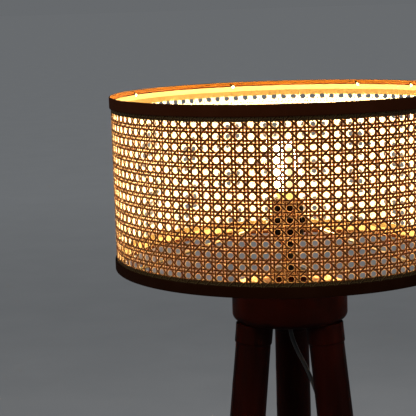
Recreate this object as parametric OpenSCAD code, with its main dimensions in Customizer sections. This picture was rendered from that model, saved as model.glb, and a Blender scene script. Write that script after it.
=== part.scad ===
// Tripod floor lamp: three turned legs under a round wooden hub, an E27 lampholder on a
// short stem, and a drum shade of cane webbing with taped rims.
// Millimetres, +Z up, origin on the floor under the lamp's axis, front towards -Y.

/* [Tripod] */
// Height of the hub's flat underside above the floor
hub_base = 1250; // [900:10:1400]
// Diameter of the turned hub disc
hub_d = 137; // [132:1:160]
// Thickness of the hub disc
hub_h = 40; // [36:1:60]
// Diameter of the turned boss on top of the hub
boss_d = 42; // [30:1:60]
// Height of the boss
boss_h = 18; // [10:1:30]
// Distance of each leg's axis from the lamp's axis, at the hub's underside
leg_ring = 47; // [44:0.5:50]
// Outward lean of each leg, in degrees
leg_splay = 6.4; // [4:0.1:10]
// Turn of the whole tripod about the lamp's axis, in degrees
tripod_turn = -2; // [-60:1:60]
// Diameter of the turned collar at a leg's top
collar_d = 44.4; // [40:0.2:48]
// Length of the collar
collar_h = 25; // [15:1:40]
// Diameter of a leg just under its collar
leg_top_d = 41.5; // [36:0.5:44]
// Diameter of a leg at its fullest
leg_max_d = 44; // [40:0.5:50]
// Distance of the fullest place below the hub
leg_max_at = 330; // [150:10:500]
// Diameter of a leg at the foot
leg_foot_d = 28; // [20:1:36]
// Thickness of the pad under each foot
pad_h = 3; // [2:0.5:6]

/* [Stem and lampholder] */
// Outer diameter of the threaded pipe that carries the lampholder
pipe_d = 10; // [8:1:12]
// Bore of the pipe
pipe_bore = 8; // [6:0.5:9]
// Diameter of the sleeve over the pipe, above the boss
sleeve_d = 12.4; // [11:0.2:16]
// Length of the sleeve
sleeve_h = 30; // [20:1:60]
// Diameter of the lampholder's skirt
holder_d = 37; // [36:0.5:42]
// Height of the lampholder's domed base
dome_h = 13; // [10:1:20]
// Height of the lampholder's skirt
skirt_h = 41; // [36:1:50]

/* [Bulb] */
// Overall length of the bulb, tip to crown
bulb_h = 106; // [103:1:115]
// Largest diameter of the glass
bulb_d = 60; // [56:1:64]
// Lift of the bulb for one turn of its E27 thread
thread_pitch = 3.63; // [3.5:0.01:3.7]

/* [Shade] */
// Outer diameter of the shade over its tapes
shade_d = 410; // [400:1:420]
// Height of the shade, rim to rim
shade_h = 202; // [196:1:208]
// Height of the shade's bottom rim above the hub's underside
shade_gap = 68; // [62:1:75]
// Visible width of the outer tape at the top rim
tape_top_w = 14.4; // [12:0.2:18]
// Visible width of the outer tape at the bottom rim
tape_bottom_w = 12.8; // [11:0.2:18]
// Width of the lining tapes inside the rims
lining_w = 17; // [15:0.5:20]
// Diameter of the wire of the two rim rings
wire_d = 3.5; // [3:0.1:3.6]

/* [Cane webbing] */
// Number of hole columns round the drum
columns = 100; // [80:4:120]
// Number of open hole rows
rows = 14; // [10:1:14]
// Turn of the weave's columns about the lamp's axis, in degrees
weave_turn = 0.6; // [0:0.1:4]
// Height of one row of the weave
row_pitch = 12.42; // [12:0.01:12.6]
// Width of one cane strand
strand_w = 2.5; // [1.8:0.1:2.8]
// Thickness of one cane strand
strand_t = 0.4; // [0.3:0.05:0.45]
// Gap between the two strands of a pair
strand_gap = 1.2; // [0.8:0.1:1.6]

/* [Cord, switch and plug] */
// Diameter of the cord
cord_d = 5; // [4:0.5:6]
// Length of the foot switch
switch_l = 84; // [70:1:100]
// Width of the foot switch
switch_w = 44; // [36:1:56]
// Height of the foot switch without its button
switch_h = 19; // [16:1:26]
// Diameter of the foot switch's button
button_d = 26; // [18:1:30]
// Travel of the button
button_travel = 3; // [2:0.5:4]

/* [Hidden] */
$fn = 96;

mahogany = [0.22, 0.07, 0.035];
tape_brown = [0.17, 0.08, 0.045];
cane = [0.80, 0.66, 0.42];
black = [0.04, 0.04, 0.045];
phenolic = [0.10, 0.06, 0.04];
brass = [0.78, 0.62, 0.30];
steel = [0.66, 0.66, 0.68];
zinc = [0.80, 0.80, 0.78];
eps = 0.01; // a cut runs this far past a face
fit = 0.05; // radial clearance of an assembled fit
run = 0.1;  // radial clearance of a running fit
gap = 0.3;  // clearance between faces that move past each other

// Heights, from the floor up
hub_top = hub_base + hub_h;
boss_top = hub_top + boss_h;
holder_base = boss_top + sleeve_h;
skirt_base = holder_base + dome_h;
skirt_top = skirt_base + skirt_h;
shade_base = hub_base + shade_gap;
shade_top = shade_base + shade_h;

// Legs
leg_azimuths = [210, 330, 90];
leg_len = hub_base / cos(leg_splay);
stud_d = 8;
stud_in_leg = 40;
stud_in_hub = 18;
insert_d = 12;
insert_h = 20;

// Nut pocket under the hub
pocket_d = 34;
pocket_h = 20;
washer_h = 2;
nut_h = 6;
nut_af = 17;
pipe_end = hub_base + pocket_h - washer_h - nut_h - 1;
relief_h = 20;

// Lampholder and bulb
wall = 2;
carrier_top = skirt_base + 15;
thread_r = 13.4;
thread_wall = 0.5;
thread_h = 21;
contact_h = 3.5;
bulb_rest = carrier_top + contact_h + gap;
cap_h = 25;
cap_r = thread_r - run;
tip_h = 1.8;
insulator_h = 4;
glass_t = 0.8;
lead_end = skirt_base + 2;

// Shade fitter
seat_top = skirt_base + 13;
fitter_t = 2;
fitter_d = 52;
nut_ring_h = 6.5;
nut_ring_d = 46;

// Drum: the weave hangs on a drum of flat facets, one to a column
rim_r = shade_d / 2;
tape_t = 1.3;
facet = 360 / columns;
weave_r = rim_r - tape_t - 0.3 - 2.5 * strand_t; // face where uprights and hoops meet
column_pitch = 2 * weave_r * tan(facet / 2);
first_row = shade_top - 20.5;
strand_off = (strand_w + strand_gap) / 2;
hoop_r = norm([weave_r, strand_off + strand_w / 2]) + 0.002; // just clears the uprights' corners
fold_top = 6;
fold_bottom = 4.5;
wire_r = wire_d / 2;
wire_ring_r = weave_r - 2 * strand_t - 0.15 - wire_r;
fold_r = wire_ring_r - wire_r - 0.15;
wire_top_z = shade_top - tape_t - 0.1 - wire_r;
wire_bottom_z = shade_base + tape_t + 0.1 + wire_r;
arm_d = 3.6;

// Cord, floor run, switch and plug
cord_r = cord_d / 2;
cord_sides = 8;
exit_z = pipe_end - relief_h;
switch_at = [34, -76];
switch_axis_h = 8;
button_proud = 5;
well_h = 9;
plug_at = [88, 74];
plug_h = 13.6;
coil_at = [0, 30];
coil_r = 29;
coil_w = 20.8;
coil_h = 9.8;

// Cord from the relief under the hub, down the right leg, to the foot switch
route_down = [
    [0, 0, 1241], [0.5, 0, 1233], [3, -0.5, 1222], [9, -2, 1207], [17, -4, 1191],
    [25, -6.5, 1172], [32, -9.5, 1151], [37, -12, 1128], [41.5, -14.5, 1080], [51, -20, 980],
    [60.5, -26, 880], [70, -32.5, 780], [80, -38.5, 680], [90, -45, 580], [100, -51.5, 480],
    [110, -58.5, 380], [120, -65.5, 280], [130, -72, 180], [139.5, -78.5, 90], [143, -80.5, 60],
    [143, -80.5, 42], [137, -79.5, 24], [124, -77.5, 10], [110, -76.5, 6], [96, -76, 8],
];
// Cord from the foot switch to the coil
route_across = [
    [-28, -76, 8], [-44, -76, 5], [-60, -72, 3], [-73, -62, 2.6], [-79, -46, 2.6],
    [-77, -29, 2.6], [-67, -14, 2.6], [-54, 0, 2.6], [-44, 14, 2.6], [-39, 26, 2.6],
];
// Cord from the coil to the plug
route_out = [
    [6, 69, 7], [18, 71.5, 4], [30, 73, 2.6], [42, 74, 3.2], [54, 74, 5], [66, 74, 6.9],
];

function at_leg(turn) = tripod_turn + leg_azimuths[turn];
function unit(v) = v / norm(v);
function blend(a, b, c, d, t) = 0.5 * (2 * b + (c - a) * t + (2 * a - 5 * b + 4 * c - d) * t * t
    + (3 * b - a - 3 * c + d) * t * t * t);
// A smooth line through the points of a route, with a given number of steps in each span
function smooth(p, steps) = [
    for (i = [0:len(p) - 2]) for (k = [0:steps - 1])
        blend(p[max(i - 1, 0)], p[i], p[i + 1], p[min(i + 2, len(p) - 1)], k / steps),
    p[len(p) - 1],
];
function headings(p) =
    [for (i = [0:len(p) - 1]) unit(p[min(i + 1, len(p) - 1)] - p[max(i - 1, 0)])];
// Normals carried along a line without twist
function normals(t) = [
    for (i = 0, n = unit(cross(t[0], [0.3, 1, 0.2])); i < len(t);
         i = i + 1, n = i < len(t) ? unit(n - (n * t[i]) * t[i]) : n) n
];

// A round tube swept along a line
module tube(line, r, sides) {
    t = headings(line);
    n = normals(t);
    rings = len(line);
    polyhedron(
        points = [for (i = [0:rings - 1]) for (k = [0:sides - 1])
            line[i] + r * (cos(360 * k / sides) * n[i] + sin(360 * k / sides) * cross(t[i], n[i]))],
        faces = concat(
            [[for (k = [0:sides - 1]) k]],
            [for (i = [0:rings - 2]) for (k = [0:sides - 1])
                [i * sides + k, (i + 1) * sides + k, (i + 1) * sides + (k + 1) % sides]],
            [for (i = [0:rings - 2]) for (k = [0:sides - 1])
                [i * sides + k, (i + 1) * sides + (k + 1) % sides, i * sides + (k + 1) % sides]],
            [[for (k = [sides - 1:-1:0]) (rings - 1) * sides + k]]
        )
    );
}

// A ring of a given bore between two heights
module ring(r_in, r_out, low, high) {
    translate([0, 0, low]) rotate_extrude()
        translate([r_in, 0]) square([r_out - r_in, high - low]);
}

// Puts its children at a leg's top, with -Z running down the leg
module on_leg(turn) {
    rotate([0, 0, at_leg(turn)]) translate([leg_ring, 0, hub_base])
        rotate([0, -leg_splay, 0]) children();
}

/* ---- Tripod ---- */

// Half section of a disc with rounded rims
module rounded_section(r, h, low_round, high_round) {
    difference() {
        square([r, h]);
        translate([r - low_round, 0]) square([low_round + eps, low_round]);
        translate([r - high_round, h - high_round]) square([high_round + eps, high_round + eps]);
    }
    intersection() {
        translate([r - low_round, low_round]) circle(low_round);
        translate([r - low_round, 0]) square(low_round);
    }
    intersection() {
        translate([r - high_round, h - high_round]) circle(high_round);
        translate([r - high_round, h - high_round]) square(high_round);
    }
}

module hub_disc() color(mahogany) {
    difference() {
        translate([0, 0, hub_base]) rotate_extrude()
            rounded_section(hub_d / 2, hub_h, 8, 2.5);
        translate([0, 0, hub_base - 1]) cylinder(r = pipe_d / 2 + fit, h = hub_h + 2);
        translate([0, 0, hub_base - 1]) cylinder(d = pocket_d, h = pocket_h + 1);
        for (i = [0:2]) on_leg(i) translate([0, 0, -5])
            cylinder(r = insert_d / 2 + fit, h = 5 + insert_h + 2);
    }
}

module hub_boss() color(mahogany) {
    difference() {
        translate([0, 0, hub_top]) rotate_extrude()
            rounded_section(boss_d / 2, boss_h, 0.5, 2);
        translate([0, 0, hub_top - 1]) cylinder(r = pipe_d / 2 + fit, h = boss_h + 2);
    }
}

// Radius of a leg at a distance down its axis, below the collar
function leg_r(s) = s < leg_max_at
    ? (leg_top_d + (leg_max_d - leg_top_d) * sin(90 * (s - collar_h) / (leg_max_at - collar_h))) / 2
    : (leg_foot_d + (leg_max_d - leg_foot_d)
        * (1 - pow((s - leg_max_at) / (leg_len - leg_max_at), 1.7))) / 2;

module leg(turn) color(mahogany) {
    past = 8;
    swell = [for (k = [0:5]) collar_h + k * (leg_max_at - collar_h) / 6];
    taper = [for (k = [0:12]) leg_max_at + k * (leg_len - leg_max_at) / 12];
    difference() {
        on_leg(turn) rotate_extrude() polygon(concat(
            [[0, past], [collar_d / 2, past], [collar_d / 2 - 0.2, -collar_h + 2],
             [collar_d / 2 - 0.6, -collar_h + 0.6]],
            [for (s = concat(swell, taper)) [leg_r(s), -s]],
            [[leg_foot_d / 2, -leg_len - past], [0, -leg_len - past]]
        ));
        translate([-hub_base / 2, -hub_base / 2, hub_base]) cube([hub_base, hub_base, 2 * past]);
        translate([-hub_base, -hub_base, pad_h - 4 * past])
            cube([2 * hub_base, 2 * hub_base, 4 * past]);
        on_leg(turn) translate([0, 0, -stud_in_leg])
            cylinder(r = stud_d / 2 + fit, h = stud_in_leg + past);
    }
}

module leg_left() leg(0);
module leg_right() leg(1);
module leg_back() leg(2);

module leg_inserts() color(brass) {
    for (i = [0:2]) difference() {
        on_leg(i) translate([0, 0, -5]) difference() {
            cylinder(d = insert_d, h = insert_h + 5);
            translate([0, 0, -1]) cylinder(r = stud_d / 2 + fit, h = insert_h + 7);
        }
        translate([-hub_d, -hub_d, hub_base - 20]) cube([2 * hub_d, 2 * hub_d, 20]);
    }
}

module leg_studs() color(steel) {
    for (i = [0:2]) on_leg(i) translate([0, 0, -stud_in_leg])
        cylinder(d = stud_d, h = stud_in_leg + stud_in_hub);
}

module foot_pads() color(black) {
    foot_ring = leg_ring + (hub_base - pad_h) * tan(leg_splay);
    for (i = [0:2]) rotate([0, 0, at_leg(i)]) translate([foot_ring, 0, 0])
        rotate_extrude() rounded_section(leg_foot_d / 2 - 1, pad_h, 0.8, 0.2);
}

/* ---- Stem ---- */

module stem_pipe() color(steel)
    ring(pipe_bore / 2, pipe_d / 2, pipe_end, skirt_base + 1.5);

module stem_sleeve() color(black)
    ring(pipe_d / 2 + fit, sleeve_d / 2, boss_top, holder_base);

module stem_nut() color(zinc) {
    top = hub_base + pocket_h - washer_h;
    difference() {
        translate([0, 0, top - nut_h]) cylinder(r = nut_af / sqrt(3), h = nut_h, $fn = 6);
        translate([0, 0, top - nut_h - 1]) cylinder(r = pipe_d / 2 + fit, h = nut_h + 2);
    }
    difference() {
        translate([0, 0, skirt_base - wall]) cylinder(r = nut_af / sqrt(3), h = 3, $fn = 6);
        translate([0, 0, skirt_base - wall - 1]) cylinder(r = pipe_d / 2 + fit, h = 5);
    }
}

module stem_washer() color(zinc)
    ring(pipe_d / 2 + fit, 14, hub_base + pocket_h - washer_h, hub_base + pocket_h);

// Tapered strain relief on the pipe's lower end
module cord_relief() color(black) {
    difference() {
        translate([0, 0, exit_z]) rotate_extrude() polygon([
            [0, 0], [3.6, 0], [4.2, 1], [5.6, 12], [7, 13], [7, relief_h - 1], [6, relief_h],
            [0, relief_h]]);
        translate([0, 0, exit_z - 1]) cylinder(r = cord_r + fit, h = relief_h + 2);
    }
}

// The cord's hidden length, from the relief up through the pipe to the terminals
module inner_lead() color(black) {
    translate([0, 0, exit_z]) cylinder(d = cord_d, h = lead_end - exit_z);
}

/* ---- Lampholder ---- */

module holder_dome() color(phenolic) {
    r = holder_d / 2;
    translate([0, 0, holder_base]) rotate_extrude() polygon([
        [pipe_d / 2 + fit, 0], [8, 0], [10.5, 1.2], [r - 4, 6.5], [r - 1.2, 9.5], [r, dome_h],
        [r - wall, dome_h], [r - wall - 1, 11], [11, dome_h - wall], [pipe_d / 2 + fit, dome_h - wall]]);
}

// Skirt of the lampholder, with thread crests over its lower half for the shade's nut
module holder_skirt() color(phenolic) {
    r = holder_d / 2;
    crest = 0.3;
    ring(r - wall, r - crest, skirt_base, skirt_top);
    ring(r - wall, r, skirt_base, skirt_base + 5);
    for (k = [0:10]) ring(r - wall, r, skirt_base + 6 + 2.4 * k, skirt_base + 7.2 + 2.4 * k);
    ring(thread_r + 1.1, r, skirt_top - 3, skirt_top);
}

module holder_carrier() color([0.85, 0.83, 0.78]) {
    r = holder_d / 2 - wall - fit;
    difference() {
        union() {
            ring(cord_r + 1.6, r, skirt_base + 6, carrier_top);
            ring(r - 2.2, r, carrier_top - eps, carrier_top + 6);
        }
        for (x = [-10, 10]) translate([x, 0, skirt_base]) cylinder(d = 3.2, h = 14);
    }
}

// E27 thread shell, with its rounded thread
module holder_thread() color(brass) {
    base = carrier_top;
    rolls = 5;
    difference() {
        union() {
            ring(thread_r, thread_r + thread_wall, base, base + thread_h);
            for (k = [0:rolls - 1]) translate([0, 0, base + 3 + k * thread_pitch]) rotate_extrude()
                translate([thread_r + thread_wall - 0.3, 0]) circle(r = 0.6);
        }
        translate([0, 0, base - 1]) cylinder(r = thread_r, h = thread_h + 2);
    }
}

module holder_contact() color(brass) {
    translate([-3.2, -9, carrier_top]) cube([6.4, 12, 0.6]);
    translate([-3.2, -1.5, carrier_top + 0.6]) cube([6.4, 3, contact_h - 0.6]);
}

module holder_side_contact() color(brass) {
    translate([-2.5, thread_r - 3.4, carrier_top]) cube([5, 3, 0.6]);
}

module holder_terminals() color(steel) {
    for (x = [-10, 10]) translate([x, 0, skirt_base + 3.5]) difference() {
        union() {
            cylinder(d = 5.5, h = 2.5);
            cylinder(d = 3, h = 10);
        }
        translate([-3, -0.4, -eps]) cube([6, 0.8, 1]);
    }
}

// Fixed flange under the shade's fitter ring
module shade_seat() color(phenolic) {
    ring(holder_d / 2 + fit, 22.5, seat_top - 5, seat_top);
}

// Ribbed ring nut that clamps the fitter ring down on its seat
module shade_nut() color(phenolic) {
    low = seat_top + fitter_t;
    ribs = 24;
    difference() {
        union() {
            ring(holder_d / 2 + fit, nut_ring_d / 2 - 0.8, low, low + nut_ring_h);
            for (k = [0:ribs - 1]) rotate([0, 0, k * 360 / ribs])
                translate([nut_ring_d / 2 - 2, -1.2, low]) cube([2, 2.4, nut_ring_h - 1]);
        }
        translate([0, 0, low - 1]) cylinder(r = holder_d / 2 + fit, h = nut_ring_h + 2);
    }
}

/* ---- Bulb ---- */

module bulb_cap() color(steel) {
    base = bulb_rest + tip_h + insulator_h;
    h = cap_h - tip_h - insulator_h;
    difference() {
        translate([0, 0, base]) rotate_extrude() polygon(concat(
            [[0, 0], [9, 0], [11, 1.5], [12.2, 2.5]],
            [for (k = [0:3]) each [[cap_r, 3.4 + k * thread_pitch], [cap_r - 0.8, 5.2 + k * thread_pitch]]],
            [[13.1, h - 1], [13.1, h], [0, h]]));
        translate([0, 0, base + 1]) cylinder(r = 11.6, h = h);
    }
}

module bulb_insulator() color(black) {
    base = bulb_rest + tip_h;
    translate([0, 0, base]) rotate_extrude() polygon([
        [0, 0], [4.6, 0], [8.8, insulator_h], [0, insulator_h]]);
}

module bulb_tip() color(zinc) {
    translate([0, 0, bulb_rest]) cylinder(r1 = 3.6, r2 = 4.6, h = tip_h);
}

crown_z = bulb_h - bulb_d / 2; // height of the glass's widest place above the tip

// Outline of the glass, radius by height above the tip, for a shell of a given inset
function glass_line(inset) = [
    [10.5 - inset, 14], [11.2 - inset, cap_h], [13 - inset, cap_h + 3],
    for (k = [0:12]) [
        13.4 + (bulb_d / 2 - 13.4) * pow(sin(90 * k / 12), 1.4) - inset,
        cap_h + 4 + k * (crown_z - cap_h - 4) / 12],
    for (k = [1:9]) [
        (bulb_d / 2 - inset) * cos(10 * k),
        crown_z + (bulb_h - crown_z - inset) * sin(10 * k)],
];

module bulb_glass() color([1, 0.95, 0.85, 0.35]) {
    outer = glass_line(0);
    inner = glass_line(glass_t);
    translate([0, 0, bulb_rest]) rotate_extrude() polygon(concat(
        outer, [for (k = [len(inner) - 1:-1:0]) inner[k]]));
}

filament_count = 6;
filament_low = 41;
filament_high = 80;
mount_r = 2.2;
mount_top = filament_low + 13;

// Glass mount inside the bulb
module bulb_stem() color([1, 0.98, 0.95, 0.4]) {
    translate([0, 0, bulb_rest]) rotate_extrude() polygon([
        [0, 16], [9.5, 16], [9, 20], [5, 27], [3, 32], [mount_r, filament_low - 3],
        [mount_r, mount_top - 2], [mount_r - 0.7, mount_top], [0, mount_top]]);
}

// Distance of a filament's lower and upper end from the bulb's axis
function filament_foot(k) = k % 2 == 0 ? 13 : 10.5;
function filament_head(k) = k % 2 == 0 ? 9 : 12;

module bulb_filaments() color([1, 0.75, 0.3]) {
    for (k = [0:filament_count - 1]) rotate([0, 0, 60 * k + 15]) {
        low = [filament_foot(k), 0, bulb_rest + filament_low];
        high = [filament_head(k), 0, bulb_rest + filament_high];
        lean = atan2(high[0] - low[0], high[2] - low[2]);
        translate(low) rotate([0, lean, 0]) cylinder(d = 1.8, h = norm(high - low));
    }
}

// Wires from the mount to the filaments' ends
module bulb_leads() color(steel) {
    wire = 0.7;
    translate([0, 0, bulb_rest]) {
        for (k = [0:filament_count - 1]) rotate([0, 0, 60 * k + 15]) {
            translate([mount_r + fit, 0, filament_low - wire]) rotate([0, 90, 0])
                cylinder(d = wire, h = filament_foot(k) - mount_r - fit + wire);
            translate([0, 0, filament_high + wire]) rotate([0, 90, 0])
                cylinder(d = wire, h = filament_head(k) + wire);
        }
        translate([0, 0, mount_top]) cylinder(d = 0.9, h = filament_high + 1 - mount_top);
    }
}

/* ---- Shade frame ---- */

module fitter_ring() color(zinc)
    ring(holder_d / 2 + 0.4, fitter_d / 2, seat_top, seat_top + fitter_t);

module spider_arms() color(zinc) {
    inner = [fitter_d / 2 - 2, 0, seat_top + fitter_t / 2];
    outer = [wire_ring_r + 0.2, 0, wire_bottom_z + wire_r + arm_d / 2 - 0.4];
    lean = atan2(outer[0] - inner[0], outer[2] - inner[2]);
    for (a = [-155, -35, 85]) rotate([0, 0, a]) difference() {
        translate(inner) rotate([0, lean, 0]) cylinder(d = arm_d, h = norm(outer - inner));
        translate([0, 0, seat_top - 3]) cylinder(d = fitter_d, h = 8);
    }
}

module rim_wire(z) translate([0, 0, z]) rotate_extrude() translate([wire_ring_r, 0]) circle(wire_r);
module rim_wire_top() color(zinc) rim_wire(wire_top_z);
module rim_wire_bottom() color(zinc) rim_wire(wire_bottom_z);

// Folded rim tape: down the outside, over the rim and a little way down the inside
module rim_tape(width, fold) {
    difference() {
        translate([fold_r - tape_t, -width]) square([rim_r - fold_r + tape_t, width]);
        translate([fold_r, -width - eps]) square([rim_r - tape_t - fold_r, width + eps - tape_t]);
        translate([fold_r - tape_t - eps, -width - eps]) square([tape_t + 2 * eps, width - fold + eps]);
    }
}

module tape_top() color(tape_brown)
    translate([0, 0, shade_top]) rotate_extrude() rim_tape(tape_top_w, fold_top);

module tape_bottom() color(tape_brown)
    translate([0, 0, shade_base]) rotate_extrude() mirror([0, 1]) rim_tape(tape_bottom_w, fold_bottom);

// Lining tape against the inside of the weave
module lining(low, high) ring(wire_ring_r + wire_r - 0.6, weave_r - 2 * strand_t, low, high);
module lining_top() color(tape_brown)
    lining(shade_top - fold_top - lining_w + 6, wire_top_z - wire_r - 0.1);
module lining_bottom() color(tape_brown)
    lining(wire_bottom_z + wire_r + 0.1, shade_base + lining_w);

/* ---- Cane webbing ---- */

// Upright strands, a pair to a facet
module cane_uprights() color(cane) {
    low = shade_base + tape_t + 0.2;
    h = shade_h - 2 * tape_t - 0.4;
    translate([0, 0, low]) linear_extrude(h)
        for (k = [0:columns - 1]) rotate(weave_turn + facet * (k + 0.5)) for (side = [-1, 1])
            translate([side * strand_off - strand_w / 2, -weave_r]) square([strand_w, strand_t]);
}

// Hoops round the drum, a pair between two rows of holes
module cane_hoops() color(cane) {
    for (k = [0:rows]) for (side = [-1, 1]) {
        mid = first_row + (0.5 - k) * row_pitch + side * strand_off;
        ring(hoop_r, weave_r + strand_t, mid - strand_w / 2, mid + strand_w / 2);
    }
}

// Part of one facet band, from column a to column b
module facet_arc(apothem, a, b) {
    function corner(r, k) = r / cos(facet / 2) * [sin(facet * k), -cos(facet * k)];
    polygon(concat(
        [for (k = [a:b]) corner(apothem + strand_t, k)],
        [for (k = [b:-1:a]) corner(apothem, k)]));
}

// One half of a diagonal strand: a slanting slice of a facet arc
module diagonal_half(apothem, way, low, high) {
    mid = (low + high) / 2;
    mid_row = (mid - first_row) / row_pitch;
    mid_column = way * (mid_row - 0.5);
    half_columns = (high - low) / 2 / row_pitch;
    half_angle = half_columns * facet;
    rise = row_pitch / column_pitch * (half_angle * PI / 180) / sin(half_angle);
    reach = half_columns + 1.2;
    intersection() {
        translate([0, 0, low]) linear_extrude(high - low)
            facet_arc(apothem, floor(mid_column - reach), ceil(mid_column + reach));
        rotate([0, 0, facet * mid_column]) translate([0, -apothem, mid])
            rotate([0, -way * atan(rise), 0])
                cube([4 * (high - low), 20, strand_w], center = true);
    }
}

module diagonals(apothem, way) {
    low = shade_base + 6;
    high = shade_top - 8;
    mid = (low + high) / 2;
    for (k = [0:columns - 1]) rotate([0, 0, weave_turn + facet * k]) {
        diagonal_half(apothem, way, low, mid);
        diagonal_half(apothem, way, mid, high);
    }
}

module cane_diagonals_outer() color(cane) diagonals(weave_r + strand_t, 1);
module cane_diagonals_inner() color(cane) diagonals(weave_r - 2 * strand_t, -1);

/* ---- Cord, switch and plug ---- */

module cord() color(black) {
    tube(smooth(route_down, 2), cord_r, cord_sides);
    tube(smooth(route_across, 2), cord_r, cord_sides);
    tube(smooth(route_out, 2), cord_r, cord_sides);
}

module cord_coil() color(black) {
    translate([coil_at[0], coil_at[1], 0.1]) rotate_extrude()
        translate([coil_r - coil_w / 2, 0]) rounded_slab(coil_w, coil_h - 0.1, 2.4);
}

// Rectangle with round corners, made of true arcs
module rounded_slab(w, h, r) {
    translate([r, 0]) square([w - 2 * r, h]);
    translate([0, r]) square([w, h - 2 * r]);
    for (x = [r, w - r]) for (y = [r, h - r]) translate([x, y]) circle(r);
}

// Saddle clips that hold the cord to the right leg
module cord_clips() color(black) {
    for (k = [8, 12, 16]) {
        p = route_down[k];
        leg_at = leg_ring + (hub_base - p[2]) * tan(leg_splay);
        centre = leg_at * [cos(at_leg(1)), sin(at_leg(1))];
        toward = atan2(p[1] - centre[1], p[0] - centre[0]);
        depth = norm([p[0], p[1]] - centre) - leg_r((hub_base - p[2]) / cos(leg_splay));
        translate(p) rotate([0, 0, at_leg(1)]) rotate([0, -leg_splay, 0])
            rotate([0, 0, toward - at_leg(1)]) difference() {
                union() {
                    cylinder(r = cord_r + 1.6, h = 8, center = true);
                    translate([-depth - 0.1, -cord_r - 1.6, -4]) cube([depth + 0.1, 2 * cord_r + 3.2, 8]);
                }
                cylinder(r = cord_r + 0.3, h = 10, center = true);
            }
    }
}

module switch_outline(grow) {
    r = switch_w / 2 + grow;
    translate([switch_at[0], switch_at[1]]) {
        for (side = [-1, 1]) translate([side * (switch_l - switch_w) / 2, 0]) circle(r);
        square([switch_l - switch_w, 2 * r], center = true);
    }
}

module switch_base() color(black) {
    difference() {
        linear_extrude(3) switch_outline(-0.8);
        at_switch_screws() translate([0, 0, -1]) cylinder(r = 2.5 + fit, h = 5);
    }
}

module switch_cover() color(black) {
    difference() {
        union() {
            translate([0, 0, 3]) linear_extrude(switch_h - 5) switch_outline(0);
            translate([0, 0, switch_h - 2]) linear_extrude(2) switch_outline(-2);
        }
        translate([switch_at[0], switch_at[1], switch_h - well_h])
            cylinder(r = button_d / 2 + gap, h = well_h + 1);
        translate([switch_at[0], switch_at[1], switch_axis_h]) rotate([0, 90, 0])
            cylinder(r = cord_r + 2, h = switch_l + 2, center = true);
    }
}

module switch_button() color([0.12, 0.12, 0.13]) {
    low = switch_h - well_h + button_travel + 2;
    translate([switch_at[0], switch_at[1], low]) rotate_extrude()
        rounded_section(button_d / 2, switch_h + button_proud - low, 0.4, 2.5);
}

// Coil spring under the button, as its outer sleeve
module switch_spring() color(zinc)
    translate([switch_at[0], switch_at[1], 0])
        ring(5, 6, switch_h - well_h, switch_h - well_h + button_travel + 2);

// Soft tapered ends of the switch, round the cord
module switch_reliefs() color(black) {
    for (side = [-1, 1]) translate([switch_at[0] + side * switch_l / 2, switch_at[1], switch_axis_h])
        rotate([0, side * 90, 0]) difference() {
            rotate_extrude() polygon([
                [0, -8], [cord_r + 1.9, -8], [cord_r + 1.9, 0.3], [cord_r + 3, 0.3], [cord_r + 1, 20],
                [0, 20]]);
            translate([0, 0, -9]) cylinder(r = cord_r + fit, h = 30);
        }
}

module at_switch_screws() {
    for (side = [-1, 1]) translate([switch_at[0] + side * 30, switch_at[1] + 11, 0]) children();
}

module switch_screws() color(steel) {
    at_switch_screws() translate([0, 0, 0.3]) cylinder(d = 5, h = 2.7);
}

// Flat two-pin plug, lying on the floor with its pins towards +X
module plug_body() color(black) {
    translate([plug_at[0], plug_at[1], 0.1]) difference() {
        linear_extrude(plug_h) polygon([
            [0, -5], [6, -8.5], [14, -12.8], [36, -17.5], [40, -17.5], [40, -5], [37, 0], [40, 5],
            [40, 17.5], [36, 17.5], [14, 12.8], [6, 8.5], [0, 5]]);
        for (y = [-9.3, 9.3]) translate([30, y, plug_h / 2]) rotate([0, 90, 0])
            cylinder(r = 2 + fit, h = 12);
        translate([-1, 0, plug_h / 2]) rotate([0, 90, 0]) cylinder(r = 3 + fit, h = 9);
    }
}

module plug_pins() color(brass) {
    for (y = [-9.3, 9.3]) translate([plug_at[0] + 30, plug_at[1] + y, 0.1 + plug_h / 2])
        rotate([0, 90, 0]) {
            cylinder(r = 1.5, h = 20);
            translate([0, 0, 20]) cylinder(r = 2, h = 8);
            translate([0, 0, 28]) cylinder(r1 = 2, r2 = 1.2, h = 1.2);
        }
}

module plug_sleeves() color(black) {
    for (y = [-9.3, 9.3]) translate([plug_at[0] + 30, plug_at[1] + y, 0.1 + plug_h / 2])
        rotate([0, 90, 0]) difference() {
            cylinder(r = 2, h = 20);
            translate([0, 0, -1]) cylinder(r = 1.5 + fit, h = 22);
        }
}

module plug_relief() color(black) {
    translate([plug_at[0] - 22, plug_at[1], 0.1 + plug_h / 2]) rotate([0, 90, 0]) difference() {
        rotate_extrude() polygon([
            [0, 0], [cord_r + 0.8, 0], [cord_r + 2.6, 22], [3, 22], [3, 28], [0, 28]]);
        translate([0, 0, -1]) cylinder(r = cord_r + fit, h = 24);
    }
}

hub_disc();
hub_boss();
leg_left();
leg_right();
leg_back();
leg_inserts();
leg_studs();
foot_pads();
stem_pipe();
stem_sleeve();
stem_nut();
stem_washer();
cord_relief();
inner_lead();
holder_dome();
holder_skirt();
holder_carrier();
holder_thread();
holder_contact();
holder_side_contact();
holder_terminals();
shade_nut();
shade_seat();
bulb_cap();
bulb_insulator();
bulb_tip();
bulb_glass();
bulb_stem();
bulb_filaments();
bulb_leads();
fitter_ring();
spider_arms();
rim_wire_top();
rim_wire_bottom();
tape_top();
tape_bottom();
lining_top();
lining_bottom();
cane_uprights();
cane_hoops();
cane_diagonals_outer();
cane_diagonals_inner();
cord();
cord_coil();
cord_clips();
switch_base();
switch_cover();
switch_button();
switch_spring();
switch_reliefs();
switch_screws();
plug_body();
plug_pins();
plug_sleeves();
plug_relief();
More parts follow.
